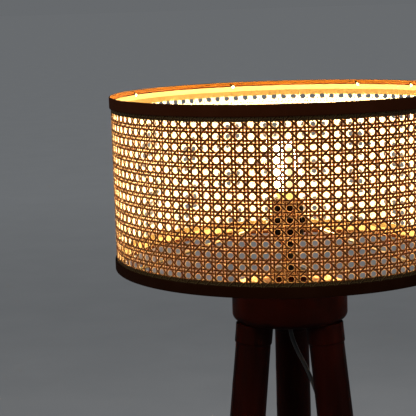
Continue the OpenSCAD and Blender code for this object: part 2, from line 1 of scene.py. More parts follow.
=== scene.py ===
"""Looks of a tripod floor lamp with a cane-webbing drum shade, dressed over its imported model.

Metres, +Z up, front towards -Y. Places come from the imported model's own boxes."""

import math
import random

import bpy
import numpy as np
from mathutils import Matrix, Vector


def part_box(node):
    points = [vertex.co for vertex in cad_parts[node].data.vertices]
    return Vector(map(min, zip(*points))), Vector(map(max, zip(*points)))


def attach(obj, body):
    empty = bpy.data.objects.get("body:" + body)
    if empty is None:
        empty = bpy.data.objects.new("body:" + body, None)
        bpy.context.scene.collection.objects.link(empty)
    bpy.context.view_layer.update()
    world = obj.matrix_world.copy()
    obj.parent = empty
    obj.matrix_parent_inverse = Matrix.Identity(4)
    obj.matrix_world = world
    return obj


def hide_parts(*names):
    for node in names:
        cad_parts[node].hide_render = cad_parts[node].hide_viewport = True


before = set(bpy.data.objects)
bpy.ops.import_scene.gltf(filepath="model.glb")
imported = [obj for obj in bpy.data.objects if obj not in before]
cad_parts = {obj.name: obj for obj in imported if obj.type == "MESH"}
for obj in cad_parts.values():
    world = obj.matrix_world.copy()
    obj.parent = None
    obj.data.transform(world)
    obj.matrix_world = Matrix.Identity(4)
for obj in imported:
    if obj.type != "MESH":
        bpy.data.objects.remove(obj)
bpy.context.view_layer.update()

MM = 0.001
LAMP = "lamp"  # the body that everything fixed rides on


def low(node):
    """The corner of a node's box with the smallest x, y and z."""
    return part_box(node)[0]


def high(node):
    """The corner of a node's box with the largest x, y and z."""
    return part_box(node)[1]


def low_radius(node):
    """Smallest distance of a node's points from the lamp's axis."""
    co = np.array([v.co[:2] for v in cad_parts[node].data.vertices])
    return float(np.sqrt((co ** 2).sum(1)).min())


# Weave: sizes as in the model's source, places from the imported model
columns = 100
rows = 14
weave_turn = math.radians(0.6)
row_pitch = 12.42 * MM
strand_w = 2.5 * MM
strand_t = 0.4 * MM
pair_off = 1.85 * MM  # from a pair's middle to each of its strands
pair_inner = pair_off - strand_w / 2
pair_outer = pair_off + strand_w / 2
weave_r = (high("cane_diagonals_outer").y + high("cane_diagonals_inner").y - strand_t) / 2
facet = 2 * math.pi / columns
column_pitch = facet * weave_r

# Rims, with their tapes, linings and knots
shade_base = low("tape_bottom").z
shade_top = high("tape_top").z
rim_r = high("tape_top").x
first_row = shade_top - 20.5 * MM  # the middle of the first row of holes
tape_r = rim_r - 0.15 * MM  # the drawn tapes' outer face
top_tape_w = 13.0 * MM
bottom_tape_w = 12.1 * MM
top_fold = 4.8 * MM  # what shows of each tape on the drum's inside
bottom_fold = 4.5 * MM
lining_drop = 1.3 * MM  # the top lining reaches this much below the model's
lining_r = low_radius("lining_top")  # the linings' inner face
uprights_drop = 5.5 * MM  # the uprights end this much below the rim's edge, behind the fold
tie_azimuths = (38, 62, 109.8, 156.5, 203, 248, 291, 336)  # in degrees from +X, anticlockwise
band_segments = 480

# Cord; its route and coil are in millimetres, as in the model's source
cord_r = 2.5 * MM
cord_steps = 4  # points drawn for each one of the route
route_down = [
    (0, 0, 1241), (0.5, 0, 1233), (3, -0.5, 1222), (9, -2, 1207), (17, -4, 1191),
    (25, -6.5, 1172), (32, -9.5, 1151), (37, -12, 1128), (41.5, -14.5, 1080), (51, -20, 980),
    (60.5, -26, 880), (70, -32.5, 780), (80, -38.5, 680), (90, -45, 580), (100, -51.5, 480),
    (110, -58.5, 380), (120, -65.5, 280), (130, -72, 180), (139.5, -78.5, 90), (143, -80.5, 60),
    (143, -80.5, 42), (137, -79.5, 24), (124, -77.5, 10), (110, -76.5, 6), (96, -76, 8),
]
route_switch = [(65, -76, 8), (34, -76, 8), (3, -76, 8)]
route_across = [
    (-28, -76, 8), (-44, -76, 5), (-60, -72, 3), (-73, -62, 2.6), (-79, -46, 2.6),
    (-77, -29, 2.6), (-67, -14, 2.6), (-54, 0, 2.6), (-44, 14, 2.6), (-39, 26, 2.6),
]
route_out = [
    (12, 69.6, 6.4), (24, 70.6, 4.6), (36, 72.2, 3.2), (48, 73.6, 3.8), (58, 74, 5.6), (67, 74, 6.8),
    (76, 74, 6.9), (88, 74, 6.9),
]
coil_centre = (0, 30)
coil_rings = (37.6, 32.4, 27.2, 22.0, 24.6, 29.8, 35.0, 39.4)  # radius as each turn starts
coil_turns = 7.25
coil_steps = 20  # points in each turn
coil_low, coil_rise = 2.6, 4.5  # height of the turns on the floor, and how much higher the others lie
rise_start, rise_turns = 3.75, 0.35  # when the cord climbs, and over how much, in turns


# ---- Camera, first in the making ----

CAMERA_AT = (0, -1.5561, 1.6216)
CAMERA_TURN = (-3.457, 8.673, -1.786)  # yaw, pitch down and roll, in degrees
SENSOR_WIDTH, FOCAL_LENGTH = 36, 115.37  # in millimetres


def make_camera():
    """The photograph's view: from standing eye height, looking down on the shade."""
    yaw, pitch, roll = (math.radians(a) for a in CAMERA_TURN)
    ahead = Vector((math.sin(yaw) * math.cos(pitch), math.cos(yaw) * math.cos(pitch), -math.sin(pitch)))
    level = Vector((math.cos(yaw), -math.sin(yaw), 0))
    upward = level.cross(ahead)
    right = math.cos(roll) * level + math.sin(roll) * upward
    up = -math.sin(roll) * level + math.cos(roll) * upward
    camera = bpy.data.objects.new("camera", bpy.data.cameras.new("camera"))
    camera.data.sensor_width = SENSOR_WIDTH
    camera.data.lens = FOCAL_LENGTH
    facing = Matrix((right, up, -ahead)).transposed().to_4x4()
    camera.matrix_world = Matrix.Translation(CAMERA_AT) @ facing
    bpy.context.scene.collection.objects.link(camera)
    bpy.context.scene.camera = camera


# ---- Materials ----

def srgb(r, g, b):
    """A linear colour from display values of 0 to 255."""
    return tuple(
        ((c / 255 + 0.055) / 1.055) ** 2.4 if c > 10 else c / 255 / 12.92 for c in (r, g, b)) + (1,)


BLACK, WHITE = (0, 0, 0, 1), (1, 1, 1, 1)


def shaded(colour, factor, lift=0.0):
    """A colour made paler or darker."""
    return tuple(min(1.0, factor * c + lift) for c in colour[:3]) + (1,)


FINE_DEPTH, FAINT_DEPTH = 0.2 * MM, 0.1 * MM  # of the relief on most surfaces, and on smooth ones


class Paint:
    """A procedural material: one Principled shader and the nodes that feed it."""

    def __init__(self, name, **constants):
        self.material = bpy.data.materials.new(name)
        self.material.use_nodes = True
        self.tree = self.material.node_tree
        self.shader = self.tree.nodes["Principled BSDF"]
        self.output = self.tree.nodes["Material Output"]
        for key, value in constants.items():
            self.shader.inputs[key.replace("_", " ")].default_value = value

    def put(self, value, socket):
        """Links another node's output to a socket, or sets the socket's constant."""
        if isinstance(value, bpy.types.NodeSocket):
            self.tree.links.new(value, socket)
        else:
            socket.default_value = value

    def node(self, kind, inputs=None, **settings):
        """A new shader node, with its inputs and settings."""
        made = self.tree.nodes.new("ShaderNode" + kind)
        for key, value in settings.items():
            setattr(made, key, value)
        for key, value in (inputs or {}).items():
            self.put(value, made.inputs[key])
        return made

    def place(self, scale):
        """The object's own coordinates, stretched by scale."""
        where = self.node("TexCoord").outputs["Object"]
        return self.node("Mapping", {"Vector": where, "Scale": scale}).outputs["Vector"]

    def axis(self, letter):
        """The object's own coordinate along one axis."""
        return self.node("SeparateXYZ", {"Vector": self.place((1, 1, 1))}).outputs[letter]

    def noise(self, scale, detail=4.0, roughness=0.55, stretch=(1, 1, 1), distortion=0.0):
        """Cloudy values of 0 to 1 all through the object."""
        return self.node("TexNoise", {
            "Vector": self.place(stretch), "Scale": scale, "Detail": detail,
            "Roughness": roughness, "Distortion": distortion}).outputs["Fac"]

    def span(self, value, low_in, high_in, low_out=0.0, high_out=1.0):
        """A value's way from low_in to high_in, as one from low_out to high_out."""
        return self.node("MapRange", {
            "Value": value, "From Min": low_in, "From Max": high_in,
            "To Min": low_out, "To Max": high_out}).outputs["Result"]

    def mix(self, factor, a, b):
        """Colour a where factor is 0, and b where it is 1."""
        made = self.node("Mix", data_type="RGBA")
        for number, value in ((0, factor), (6, a), (7, b)):
            self.put(value, made.inputs[number])
        return made.outputs[2]

    def maths(self, operation, a, b=0.0):
        """The result of an operation on one or two values."""
        made = self.node("Math", operation=operation)
        for number, value in enumerate((a, b)):
            self.put(value, made.inputs[number])
        return made.outputs[0]

    def attribute(self, name):
        """A value that set_attribute gave to the mesh's points."""
        return self.node("Attribute", attribute_name=name).outputs["Fac"]

    def feed(self, key, socket):
        """Drives one input of the Principled shader."""
        self.tree.links.new(socket, self.shader.inputs[key])

    def let_lamps_by(self, seen, tint):
        """Ends the material in the shader seen, which lamps' rays go straight through, tinted."""
        straight = self.node("BsdfTransparent", {"Color": tint})
        shadow = self.node("LightPath").outputs["Is Shadow Ray"]
        either = self.node("MixShader", {"Fac": shadow, 1: seen, 2: straight.outputs[0]})
        self.tree.links.new(either.outputs[0], self.output.inputs["Surface"])

    def bump(self, height, strength, distance=FINE_DEPTH):
        """Relief in which a height of 1 stands for the distance."""
        made = self.node("Bump", {"Height": height, "Strength": strength, "Distance": distance})
        self.feed("Normal", made.outputs["Normal"])


WOOD_BANDS = srgb(9, 1.2, 0.4), srgb(23, 2.8, 0.8)
WOOD_PORE = srgb(4, 0.5, 0.3)
WOOD_BLOTCH = srgb(34, 5, 1.5)
# Painted light: the paler colour of the hub's top face, where the bulb shines down on it
LIT_TOP_WOOD = srgb(122, 88, 58)


def mahogany(name, stretch, lit_top_at=None):
    """Dark stained mahogany. stretch is small along the grain; the face at the height given last is painted
    a paler wood colour, as painted light from the bulb shining on it.
    """
    p = Paint(name, Specular_IOR_Level=0.02)
    bands = p.noise(9, 3, 0.5, stretch, distortion=1.2)
    pores = p.noise(70, 5, 0.65, stretch)
    base = p.mix(p.span(bands, 0.35, 0.66), WOOD_BANDS[0], WOOD_BANDS[1])
    streaked = p.mix(p.span(pores, 0.48, 0.68, 0.0, 0.75), base, WOOD_PORE)
    blotch = p.noise(14, 2)
    colour = p.mix(p.span(blotch, 0.4, 0.75, 0.0, 0.3), streaked, WOOD_BLOTCH)
    # Painted light: the top face takes the paler colour, standing for the bulb's light on it
    if lit_top_at:
        off = p.maths("ABSOLUTE", p.maths("SUBTRACT", p.axis("Z"), lit_top_at))
        colour = p.mix(p.span(off, 0.3 * MM, 0.8 * MM, 1.0, 0.0), colour, LIT_TOP_WOOD)
    p.feed("Base Color", colour)
    p.feed("Roughness", p.span(pores, 0.3, 0.7, 0.42, 0.58))
    p.bump(pores, 0.12, 0.6 * MM)
    return p.material


def metal(name, colour, roughness):
    """Turned or drawn metal with fine tool lines round it."""
    p = Paint(name, Metallic=1.0)
    lines = p.noise(60, 3, 0.6, (1, 1, 40))
    stain = p.noise(40, 3)
    p.feed("Base Color", p.mix(p.span(stain, 0.4, 0.75, 0.0, 0.6), colour, shaded(colour, 0.72)))
    p.feed("Roughness", p.span(lines, 0.3, 0.7, roughness - 0.08, roughness + 0.1))
    p.bump(lines, 0.08)
    return p.material


def moulded(name, colour, roughness, grain, depth=FINE_DEPTH, coat=0.0, shine=0.45):
    """Moulded plastic, rubber, enamel or thread, with a fine grain and faint mottling."""
    p = Paint(name, Coat_Weight=coat, Coat_Roughness=0.15, Specular_IOR_Level=shine)
    fine = p.noise(grain, 2, 0.5)
    broad = p.noise(25, 3)
    p.feed("Base Color", p.mix(p.span(broad, 0.4, 0.72, 0.0, 0.5), colour, shaded(colour, 1.6)))
    p.feed("Roughness", p.span(broad, 0.3, 0.7, roughness - 0.06, roughness + 0.08))
    p.bump(fine, 0.25, depth)
    return p.material


def powder_coat(name, colour):
    """Sprayed and baked paint: a fine orange peel, scuffed in places."""
    p = Paint(name, Roughness=0.42, Coat_Weight=0.15)
    peel = p.noise(650, 2)
    scuff = p.noise(45, 4, 0.7)
    p.feed("Base Color", p.mix(p.span(scuff, 0.55, 0.75, 0.0, 0.35), colour, shaded(colour, 0.6)))
    p.bump(peel, 0.2)
    return p.material


CANE_RIND = (srgb(35, 23, 9), srgb(48, 34, 15), srgb(25, 16, 6))
CANE_PITH = (srgb(122, 113, 94), srgb(138, 128, 107))
CANE_EDGE = srgb(78, 62, 36)
FIBRE_SCALE = (70, 2400, 53)  # along a strand, across it, and from one strand to another
# The light from behind in a strand's core and at its edges, and how much of it there is
CANE_GLOW = (srgb(212, 100, 36), srgb(250, 216, 150))
CORE_SHARE, EDGE_SHARE = 0.008, 0.1
# What core and edges let by on to the next strand
CANE_SHADE = ((0.06, 0.03, 0.015, 1), (0.8, 0.6, 0.4, 1))


def cane_material():
    """Split cane: brown skin with fibres along it and a pale pith side, lit from behind at its edges."""
    p = Paint("cane", Specular_IOR_Level=0.04)
    tone, skin, along, across = (p.attribute(name) for name in ("tone", "skin", "along", "across"))
    lengthwise = p.node("CombineXYZ", {
        axis: p.maths("MULTIPLY", value, scale)
        for axis, value, scale in zip("XYZ", (along, across, tone), FIBRE_SCALE)}).outputs["Vector"]
    fibre = p.node("TexNoise", {"Vector": lengthwise, "Scale": 1.0, "Detail": 4.0}).outputs["Fac"]
    patch = p.noise(22, 3)
    side = p.maths("MULTIPLY", p.maths("ABSOLUTE", across), 2 / strand_w)
    side = p.maths("ADD", side, p.span(fibre, 0.3, 0.7, -0.06, 0.06))
    outer = p.span(skin, 0.3, 0.5)
    rind = p.mix(tone, CANE_RIND[0], CANE_RIND[1])
    rind = p.mix(p.span(patch, 0.42, 0.7, 0.0, 0.5), rind, CANE_RIND[2])
    rind = p.mix(p.span(side, 0.6, 0.95), rind, CANE_EDGE)
    pith = p.mix(p.span(patch, 0.4, 0.7), CANE_PITH[0], CANE_PITH[1])
    sided = p.mix(outer, pith, rind)
    dark = p.mix(0.55, sided, BLACK)
    p.feed("Base Color", p.mix(p.span(fibre, 0.5, 0.75, 0.0, 0.45), sided, dark))
    p.feed("Roughness", p.span(fibre, 0.3, 0.7, 0.36, 0.54))
    p.bump(fibre, 0.2)
    glow = p.mix(p.span(side, 0.6, 0.82), CANE_GLOW[0], CANE_GLOW[1])
    share = p.span(side, 0.5, 0.92, CORE_SHARE, EDGE_SHARE)
    through = p.node("BsdfTranslucent", {"Color": glow})
    both = p.node("MixShader", {
        "Fac": p.maths("MULTIPLY", outer, share), 1: p.shader.outputs[0], 2: through.outputs[0]})
    shade = p.mix(p.span(side, 0.5, 0.95), CANE_SHADE[0], CANE_SHADE[1])
    p.let_lamps_by(both.outputs[0], p.mix(outer, WHITE, shade))
    return p.material


def tape_material(name, dark, light, ribs_per_metre, inside=None):
    """Ribbed woven tape: ribs run across it, with a slight sheen and rubbed high spots. With an inside
    colour, the points marked inside take it: painted light, a paler colour for the lamp shining on the
    fold's inside.
    """
    p = Paint(name, Sheen_Weight=0.01, Sheen_Roughness=0.5, Specular_IOR_Level=0.0)
    turns = 2 * math.pi * ribs_per_metre
    rib = p.maths("SINE", p.maths("MULTIPLY", p.attribute("along"), turns))
    thread = p.maths("SINE", p.maths("MULTIPLY", p.attribute("across"), 1.6 * turns))
    fuzz = p.noise(420, 3, 0.6)
    patch = p.noise(16, 3, 0.6)
    height = p.maths("ADD", p.maths("ADD", rib, p.maths("MULTIPLY", thread, 0.5)), fuzz)
    base = p.mix(p.span(height, -0.8, 2.2), dark, light)
    colour = p.mix(p.span(patch, 0.5, 0.8, 0.0, 0.35), base, shaded(light, 1.25, 0.003))
    # Painted light: the fold's inside takes a paler colour where the lamp shines on it
    if inside:
        painted_lit_fold = p.mix(p.span(height, -0.8, 2.2, 0.0, 0.3), inside, light)
        colour = p.mix(p.attribute("inside"), colour, painted_lit_fold)
    p.feed("Base Color", colour)
    p.feed("Roughness", p.span(patch, 0.3, 0.7, 0.78, 0.92))
    p.bump(height, 0.5)
    return p.material


GLARE_AT, GLOW_AT = -9 * MM, 3.5 * MM  # where the two columns stand, across the bulb
COLUMN_W, COLUMN_EDGE = 9 * MM, 3 * MM  # their width, and that of their soft edges
COLUMN_OVER = 6 * MM  # how far they go beyond the filaments' ends
NECK_H = 17 * MM
GLARE_POWER = 40
GLASS_SHADE = (0.97, 0.96, 0.94, 1)
NECK_SHADE = (0.02, 0.015, 0.005, 1)
# Painted glow: the colours the glass itself gives off, in the glare column and in the yellow column and neck
GLARE, GLOW_YELLOW, GLOW_AMBER = (1.0, 0.8, 0.5, 1), (1.0, 0.94, 0.44, 1), (1.0, 0.86, 0.22, 1)


def glass_material():
    """Thin clear glass with a white glare column, a yellow column beside it and a yellow neck, which are
    painted glow: the glass gives off light there, strongly in the glare column and faintly in the yellow
    parts.
    """
    p = Paint("bulb_glass", Roughness=0.04, Transmission_Weight=1.0)
    rim = p.node("LayerWeight", {"Blend": 0.35}).outputs["Facing"]
    smear = p.noise(30, 3)
    x, z = p.axis("X"), p.axis("Z")
    lit = low("bulb_filaments").z, high("bulb_filaments").z
    middle, reach = (lit[0] + lit[1]) / 2, (lit[1] - lit[0]) / 2 + COLUMN_OVER
    off_middle = p.maths("ABSOLUTE", p.maths("SUBTRACT", z, middle))
    level = p.span(off_middle, reach, reach + COLUMN_EDGE, 1, 0)

    def column(at):
        """A soft-edged upright stripe, as high as the lit part of the bulb."""
        off = p.maths("ABSOLUTE", p.maths("SUBTRACT", x, at))
        side = p.span(off, (COLUMN_W - COLUMN_EDGE) / 2, (COLUMN_W + COLUMN_EDGE) / 2, 1, 0)
        return p.maths("MULTIPLY", level, side)

    glare = column(GLARE_AT)
    neck_top = low("bulb_glass").z + NECK_H
    neck = p.span(z, neck_top, neck_top + COLUMN_EDGE, 1, 0)
    yellow = p.maths("MAXIMUM", column(GLOW_AT), neck)
    tint = p.mix(p.span(smear, 0.4, 0.7), srgb(255, 214, 140), srgb(255, 200, 110))
    p.feed("Base Color", p.mix(yellow, tint, srgb(2, 2, 1)))
    # Painted glow: the glass gives off light in the glare column, and faintly in the yellow column and neck
    p.feed("Emission Color", p.mix(glare, p.mix(neck, GLOW_YELLOW, GLOW_AMBER), GLARE))
    p.feed("Emission Strength", p.maths("ADD", p.maths("MULTIPLY", glare, GLARE_POWER), yellow))
    p.feed("Transmission Weight", p.maths("SUBTRACT", 1.0, yellow))
    clear = p.maths("ADD", p.span(rim, 0.5, 1.0, 0.04, 0.2), p.span(smear, 0.45, 0.75, 0.0, 0.04))
    hazy = p.maths("MAXIMUM", p.maths("MULTIPLY", glare, 0.5), yellow)
    p.feed("Alpha", p.maths("MAXIMUM", clear, hazy))
    p.let_lamps_by(p.shader.outputs[0], p.mix(neck, GLASS_SHADE, NECK_SHADE))
    return p.material


SIDE_AT, SIDE_EDGE = 5 * MM, 2 * MM  # the two sides' filaments start here, over a soft edge
LEFT_POWER, RIGHT_POWER = 3000, 60
WARM_BEADS = (1.0, 0.58, 0.22, 1), (1.0, 0.72, 0.36, 1)


def filament_material():
    """Glowing filament sticks with brighter beads along them; those at the two sides glow most."""
    p = Paint("filament", Roughness=0.5)
    beads = p.noise(900, 1)
    p.feed("Base Color", p.mix(beads, srgb(255, 214, 120), srgb(255, 190, 90)))
    p.feed("Emission Color", p.mix(p.span(beads, 0.35, 0.65), WARM_BEADS[0], WARM_BEADS[1]))
    x = p.axis("X")
    left = p.span(x, -SIDE_AT - SIDE_EDGE, -SIDE_AT, LEFT_POWER, 1)
    right = p.span(x, SIDE_AT, SIDE_AT + SIDE_EDGE, 1, RIGHT_POWER)
    p.feed("Emission Strength", p.maths("MAXIMUM", left, right))
    return p.material


def paint_nodes(material, *names):
    """Gives the model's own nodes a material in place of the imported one."""
    for name in names:
        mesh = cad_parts[name].data
        mesh.materials.clear()
        mesh.materials.append(material)


def dress_model():
    """Materials of the model's own pieces."""
    upright_grain, level_grain = (1, 1, 0.05), (0.06, 1, 1)
    leg_wood = mahogany("mahogany_leg", upright_grain)
    hub_wood = mahogany("mahogany_hub", level_grain, lit_top_at=high("hub_disc").z)
    paint_nodes(leg_wood, "leg_left", "leg_right", "leg_back")
    paint_nodes(hub_wood, "hub_disc", "hub_boss")
    paint_nodes(metal("brass", (0.76, 0.53, 0.24, 1), 0.3),
                "leg_inserts", "holder_thread", "holder_contact", "holder_side_contact")
    paint_nodes(metal("steel", (0.56, 0.56, 0.58, 1), 0.34),
                "leg_studs", "stem_pipe", "holder_terminals", "bulb_leads")
    paint_nodes(metal("zinc", (0.66, 0.66, 0.64, 1), 0.4),
                "stem_nut", "stem_washer", "bulb_tip", "switch_spring", "switch_screws")
    paint_nodes(metal("nickel", (0.68, 0.65, 0.60, 1), 0.22), "bulb_cap", "plug_pins")
    paint_nodes(moulded("rubber", srgb(27, 26, 26), 0.72, 900),
                "foot_pads", "cord_relief", "switch_reliefs", "plug_relief")
    paint_nodes(moulded("black_plastic", srgb(30, 30, 31), 0.5, 1100),
                "switch_base", "switch_cover", "cord_clips", "plug_body", "plug_sleeves")
    paint_nodes(moulded("button_plastic", srgb(40, 40, 42), 0.34, 500, FAINT_DEPTH, coat=0.2),
                "switch_button")
    paint_nodes(moulded("black_enamel", srgb(5, 4, 3), 0.5, 500, FAINT_DEPTH, shine=0.06),
                "stem_sleeve")
    paint_nodes(moulded("phenolic", srgb(6, 3, 2), 0.8, 300, FAINT_DEPTH, shine=0.05),
                "holder_dome", "holder_skirt", "shade_nut", "shade_seat", "bulb_insulator")
    paint_nodes(moulded("ceramic", srgb(222, 216, 202), 0.3, 300, FAINT_DEPTH, coat=0.3),
                "holder_carrier")
    paint_nodes(powder_coat("frame_wire", srgb(54, 45, 15)),
                "fitter_ring", "spider_arms", "rim_wire_top", "rim_wire_bottom")
    paint_nodes(glass_material(), "bulb_glass", "bulb_stem")
    paint_nodes(filament_material(), "bulb_filaments")


# ---- Pieces ----

def link(name, mesh, material):
    """A new piece, fixed to the lamp."""
    piece = bpy.data.objects.new(name, mesh)
    bpy.context.scene.collection.objects.link(piece)
    mesh.materials.append(material)
    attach(piece, LAMP)
    return piece


def tubes_mesh(name, points, looped):
    """Tubes over points[tube, ring, side, xyz], each one closed into a loop or capped at both ends."""
    tubes, rings, sides = points.shape[:3]
    index = np.arange(tubes * rings * sides).reshape(tubes, rings, sides)
    here = index if looped else index[:, :-1]
    there = np.roll(index, -1, 1) if looped else index[:, 1:]
    loops = np.stack([here, np.roll(here, -1, 2), np.roll(there, -1, 2), there], -1).reshape(-1)
    starts = np.arange(0, len(loops), 4)
    if not looped:
        ends = np.concatenate([index[:, 0, ::-1], index[:, -1]])
        starts = np.concatenate([starts, len(loops) + sides * np.arange(len(ends))])
        loops = np.concatenate([loops, ends.reshape(-1)])
    mesh = bpy.data.meshes.new(name)
    mesh.vertices.add(index.size)
    mesh.vertices.foreach_set("co", points.reshape(-1).astype(np.float32))
    mesh.loops.add(len(loops))
    mesh.loops.foreach_set("vertex_index", loops.astype(np.int32))
    mesh.polygons.add(len(starts))
    mesh.polygons.foreach_set("loop_start", starts.astype(np.int32))
    mesh.update(calc_edges=True)
    mesh.validate()
    mesh.polygons.foreach_set("use_smooth", np.ones(len(starts), bool))
    return mesh


def set_attribute(mesh, name, values):
    """A value at each of the mesh's points, for the materials."""
    made = mesh.attributes.new(name, "FLOAT", "POINT")
    made.data.foreach_set("value", values.reshape(-1).astype(np.float32))


# A strand's section as (widths across, thicknesses outwards, skin): flat inside and crowned outside
SECTION = np.array([
    (-0.44, -0.5, 0.0), (0.44, -0.5, 0.0), (0.5, 0.0, 0.5),
    (0.24, 0.5, 1.0), (-0.24, 0.5, 1.0), (-0.5, 0.0, 0.5)])


def strands_mesh(name, turn, z, out, slant, looped):
    """Strands on the drum. turn, z and out hold each strand's angle, height and offset ring by ring;
    slant is its angle from the upright, in radians."""
    across = SECTION[:, 0] * strand_w
    thick = SECTION[:, 1] * strand_t
    radius = (weave_r + out)[..., None] + thick
    angle = turn[..., None] + across * math.cos(slant) / weave_r
    height = z[..., None] - across * math.sin(slant)
    points = np.stack([radius * np.sin(angle), -radius * np.cos(angle), height], -1)
    mesh = tubes_mesh(name, points, looped)
    tones = np.random.default_rng(len(name)).random(len(turn))
    step_round = np.diff(turn, axis=1, prepend=turn[:, :1]) * weave_r
    step_up = np.diff(z, axis=1, prepend=z[:, :1])
    along = np.cumsum(np.hypot(step_round, step_up), axis=1)
    for key, values in (("tone", tones[:, None, None]), ("skin", SECTION[:, 2]),
                        ("along", along[..., None]), ("across", across)):
        set_attribute(mesh, key, np.broadcast_to(values, points.shape[:3]))
    return mesh


def weave_steps(first, last, marks):
    """First, last, and between them every whole number plus each mark."""
    values = [n + m for n in range(math.floor(first) - 1, math.ceil(last) + 1) for m in marks]
    return np.array([first] + [v for v in values if first < v < last] + [last])


def pair_wave(x, pitch):
    """A strand's rise as it crosses a pair, x in pitches: below one strand of it and above the other."""
    d = (x % 1 - 0.5) * pitch
    rise = np.clip(d / pair_inner, -1, 1)
    fall = np.clip((pitch / 2 - np.abs(d)) / (pitch / 2 - pair_outer), 0, 1)
    return rise * fall


def pair_marks(pitch):
    """Where in each pitch a strand bends."""
    inner, outer = pair_inner / pitch, pair_outer / pitch
    return np.array((0.0, 0.5 - outer, 0.5 - inner, 0.5 + inner, 0.5 + outer))


def pairs(first, count, pitch):
    """Places of paired strands, in pitches, and which one of its pair each is, as columns."""
    side = np.tile([-1, 1], count)
    places = first + np.repeat(np.arange(count), 2) + side * pair_off / pitch
    return places[:, None], side[:, None]


def row_at(z):
    """A height in rows, counted downwards from the first row of holes."""
    return (first_row - z) / row_pitch


def lay_strands(name, node, material, s, t, out, slant, looped=False):
    """Strands in place of a node, through points at s columns of holes round the drum and t rows down."""
    s, t = np.broadcast_arrays(s, t)
    turn = weave_turn + facet * s
    z = first_row - row_pitch * t
    piece = link(name, strands_mesh(name, turn, z, out, slant, looped), material)
    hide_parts(node)


def make_uprights(material):
    """Pairs of uprights, woven over and under the hoops."""
    s, side = pairs(0.5, columns, column_pitch)
    t = weave_steps(row_at(shade_top - uprights_drop), row_at(low("cane_uprights").z), pair_marks(row_pitch))
    out = side * strand_t / 2 * pair_wave(t, row_pitch)
    lay_strands("weave_uprights", "cane_uprights", material, s, t, out, 0.0)


def make_hoops(material):
    """Pairs of hoops, woven over and under the uprights."""
    t, side = pairs(-0.5, rows + 1, row_pitch)
    s = (np.arange(columns)[:, None] + pair_marks(column_pitch)).reshape(-1)
    out = -side * strand_t / 2 * pair_wave(s, column_pitch)
    lay_strands("weave_hoops", "cane_hoops", material, s, t, out, math.pi / 2, looped=True)


# Where in each row a diagonal bends, and how sharply it changes sides
DIAGONAL_MARKS = (0.0, 0.19, 0.31, 0.5, 0.69, 0.81)
DIAGONAL_SHARPNESS = 2.7


def make_diagonals(material, name, node, way):
    """Diagonals that go down to the right for way 1, or to the left for -1. They cross the hoops at
    whole s, on one side, and the uprights at half s, on the other."""
    top, base = row_at(high("cane_diagonals_outer").z), row_at(low("cane_diagonals_outer").z)
    t = weave_steps(top, base, DIAGONAL_MARKS)
    s = np.arange(columns)[:, None] + way * (t - 0.5)
    out = -way * strand_t * np.clip(DIAGONAL_SHARPNESS * np.cos(2 * np.pi * s), -1, 1)
    slant = -way * math.atan2(column_pitch, row_pitch)
    lay_strands(name, node, material, s, t, out, slant)


def make_weave(material):
    """Six-way cane: paired uprights and hoops, and diagonals both ways through them."""
    make_uprights(material)
    make_hoops(material)
    make_diagonals(material, "weave_diagonals_right", "cane_diagonals_outer", 1)
    make_diagonals(material, "weave_diagonals_left", "cane_diagonals_inner", -1)


def band_mesh(name, profile, wobble):
    """A band round the lamp's axis, which wobble moves up and down a little. profile lists
    (radius, height), or (radius, height, how much of the wobble, inside)."""
    rng = random.Random(name)
    # Four slow waves and four quick ones, as (waves in a turn, where they start, size)
    waves = [(rng.randint(3, 9), rng.uniform(0, 6.28), rng.uniform(0.4, 1)) for _ in range(4)]
    waves += [(rng.randint(25, 60), rng.uniform(0, 6.28), rng.uniform(0.15, 0.35)) for _ in range(4)]
    angle = 2 * np.pi * np.arange(band_segments) / band_segments
    shift = sum(size * np.sin(n * angle + start) for n, start, size in waves) / 3
    profile = np.array(profile)
    weight = profile[:, 2] if profile.shape[1] > 2 else np.ones(len(profile))
    radius = profile[None, :, 0] + np.zeros((band_segments, 1))
    height = profile[None, :, 1] + wobble * shift[:, None] * weight[None, :]
    points = np.stack([
        radius * np.sin(angle)[:, None], -radius * np.cos(angle)[:, None], height], -1)[None]
    mesh = tubes_mesh(name, points, True)
    steps = np.linalg.norm(np.diff(profile[:, :2], axis=0), axis=1)
    across = np.concatenate([[0], np.cumsum(steps)])
    along = np.minimum(angle, 2 * np.pi - angle) * rim_r
    set_attribute(mesh, "across", np.broadcast_to(across[None, :], height.shape))
    set_attribute(mesh, "along", np.broadcast_to(along[:, None], height.shape))
    if profile.shape[1] > 3:
        set_attribute(mesh, "inside", np.broadcast_to(profile[None, :, 3], height.shape))
    return mesh


def arc(centre, r, start, end, steps, inside=0):
    """An arc in a tape's section, in degrees from the outward direction."""
    turns = [math.radians(start + (end - start) * k / steps) for k in range(steps + 1)]
    return [(centre[0] + r * math.cos(a), centre[1] + r * math.sin(a), inside) for a in turns]


# How far a tape's edges outside and on its fold thin, and over what height
EDGE_THIN, EDGE_TAPER = 0.25 * MM, 1.1 * MM
FOLD_THIN, FOLD_TAPER = 0.2 * MM, 0.9 * MM
STILL = 2.2 * MM  # nearer to the rim's edge than this, a tape doesn't wobble


def outer_face(width, corner):
    """The part of a tape's section on the drum's outside, as (radius, level, inside). The rim's own
    edge is at level 0, and the weave on the minus side."""
    return [(tape_r - EDGE_THIN, -width, 0), (tape_r, -width + EDGE_TAPER, 0), (tape_r, -corner, 0)]


def with_wobble(section):
    """The same section as (radius, level, how much of the wobble, inside)."""
    return [(r, level, 0.0 if level > -STILL else 1.0, inside) for r, level, inside in section]


